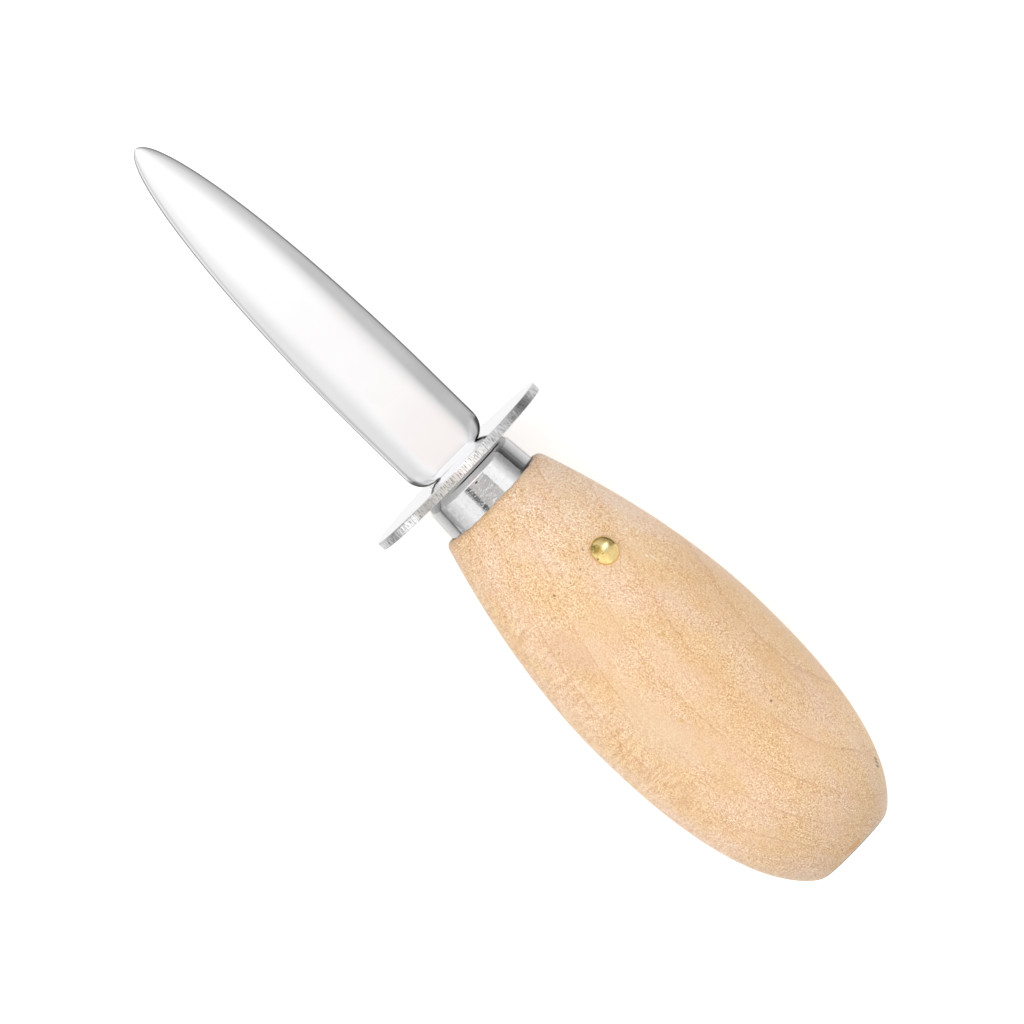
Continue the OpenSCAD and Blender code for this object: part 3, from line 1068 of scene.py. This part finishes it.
# Panels high above, which the ferrule mirrors as one grey strip with a dark edge.
PANEL_X = (0.16, 0.235)
PANEL_Z = 2.0
PANEL_NAMES = ("panel_near", "panel_grey", "panel_far", "panel_edge", "panel_rim")
PANEL_STEPS = (
    (-0.985, (0.55, 0.53, 0.51)),
    (-0.84, (0.585, 0.555, 0.53)),
    (0.4, (0.6, 0.565, 0.535)),
    (0.64, grey(0.06)),
    (1.0, grey(0.45)),
    (1.2, None),
)

# The warm panel above the butt, which the blade's flat mirrors near the heel.
WARM_X = (-0.5, -0.034)
WARM_Y = (-0.4, 0.26)
WARM_Z = 1.0
WARM = (1.22, 1.085, 1.03)

# The curved sheet over the blade's point, which fades out over mid blade.
HOOD_R = 0.3
HOOD_HALF_ANGLE = 84
HOOD_STEPS = 56
HOOD_X = (0.038, 0.9)
HOOD_FADE = (0.04, 0.056)


def strips(names, steps):
    """Each strip's name, near and far edge and value, from steps that end in an edge alone."""
    for name, (near, value), (far, _) in zip(names, steps, steps[1:]):
        yield name, near, far, value


def tip_hood():
    points = []
    for i in range(HOOD_STEPS + 1):
        side = math.radians(-HOOD_HALF_ANGLE + 2 * HOOD_HALF_ANGLE * i / HOOD_STEPS)
        for x in HOOD_X:
            points.append((x, HOOD_R * math.sin(side), AXIS_Z + HOOD_R * math.cos(side)))
    faces = [(2 * i, 2 * i + 1, 2 * i + 3, 2 * i + 2) for i in range(HOOD_STEPS)]
    material, tree, glow, surface = glow_material("tip_hood")
    x, y, z = knife_place(tree)
    tree.links.new(band(tree, math_node(tree, "ARCTAN2", y, z), HOOD), glow.inputs["Color"])
    glow.inputs["Strength"].default_value = PEAK
    clear = tree.nodes.new("ShaderNodeBsdfTransparent")
    fade = tree.nodes.new("ShaderNodeMixShader")
    tree.links.new(span(tree, x, *HOOD_FADE), fade.inputs["Fac"])
    tree.links.new(clear.outputs["BSDF"], fade.inputs[1])
    tree.links.new(glow.outputs["Emission"], fade.inputs[2])
    tree.links.new(fade.outputs["Shader"], surface)
    reflected_only(mesh_object("tip_hood", points, faces), material)


def build_cards():
    """A low flag and a sweep of painted shade that dims towards it at the right, a sweep at the left, and
    the panels.
    """
    a, b = BESIDE_BLADE
    for name, low, top, value in strips(FLAG_NAMES, FLAG_STEPS):
        corners = [(a, FLAG_Y, low), (b, FLAG_Y, low), (b, FLAG_Y, top), (a, FLAG_Y, top)]
        card(name, corners, grey(value))
    tip_hood()
    for side, steps in (("right", SWEEP_RIGHT), ("left", SWEEP_LEFT)):
        names = ["sweep_%s_%d" % (side, i) for i in range(len(steps))]
        for name, near, far, value in strips(names, steps):
            overhead(name, BESIDE_BLADE, (near, far), SWEEP_Z, grey(value))
    for name, near, far, value in strips(RIM_NAMES, RIM_STEPS):
        overhead(name, BEHIND_GUARD, (near, far), RIM_Z, grey(value))
    for name, near, far, colour in strips(PANEL_NAMES, PANEL_STEPS):
        overhead(name, PANEL_X, (near, far), PANEL_Z, colour)
    inner, outer = FOOT_Y
    overhead("foot_right", GUARD_FOOT, (-outer, -inner), FOOT_Z, grey(FOOT_GREY))
    overhead("foot_left", GUARD_FOOT, (inner, outer), FOOT_Z, grey(FOOT_GREY))
    overhead("panel_warm", WARM_X, WARM_Y, WARM_Z, WARM)


# Light and camera

LIGHT_SIZE = (0.9, 0.7)
LIGHT_W = 4
LIGHT_AT = (0.4, 0.4, 1.0)


def build_light():
    """A softbox for the wood and the shadow. Shiny surfaces see the world's lamp instead."""
    light = bpy.data.lights.new("softbox", "AREA")
    light.shape = "RECTANGLE"
    light.size, light.size_y = LIGHT_SIZE
    light.energy = LIGHT_W
    lamp = bpy.data.objects.new("softbox", light)
    lamp.location = LIGHT_AT
    aim = Vector((0, 0, 0)) - lamp.location
    lamp.rotation_euler = aim.to_track_quat("-Z", "Y").to_euler()
    lamp.visible_glossy = False
    bpy.context.scene.collection.objects.link(lamp)


def build_camera():
    """Nearly straight above, leaning towards the tip, and turned so that the knife lies as photographed."""
    target = Vector((AIM_X, AIM_Y, AXIS_Z))
    eye = Vector((CAMERA_X, AIM_Y, AXIS_Z + CAMERA_H))
    back = (eye - target).normalized()
    right = Vector((-math.cos(AXIS_ANGLE), -math.sin(AXIS_ANGLE), 0))
    right = (right - back * right.dot(back)).normalized()
    up = back.cross(right)
    lens = bpy.data.cameras.new("camera")
    lens.sensor_width = SENSOR_MM
    lens.lens = (eye - target).length / (MM_PER_PX * MM * PHOTO_PX) * SENSOR_MM
    lens.clip_end = 100
    camera = bpy.data.objects.new("camera", lens)
    camera.matrix_world = Matrix.Translation(eye) @ Matrix((right, up, back)).transposed().to_4x4()
    bpy.context.scene.collection.objects.link(camera)
    bpy.context.scene.camera = camera


build_floor()
build_world()
build_cards()
build_light()
build_camera()
bpy.context.scene.view_settings.view_transform = "Standard"
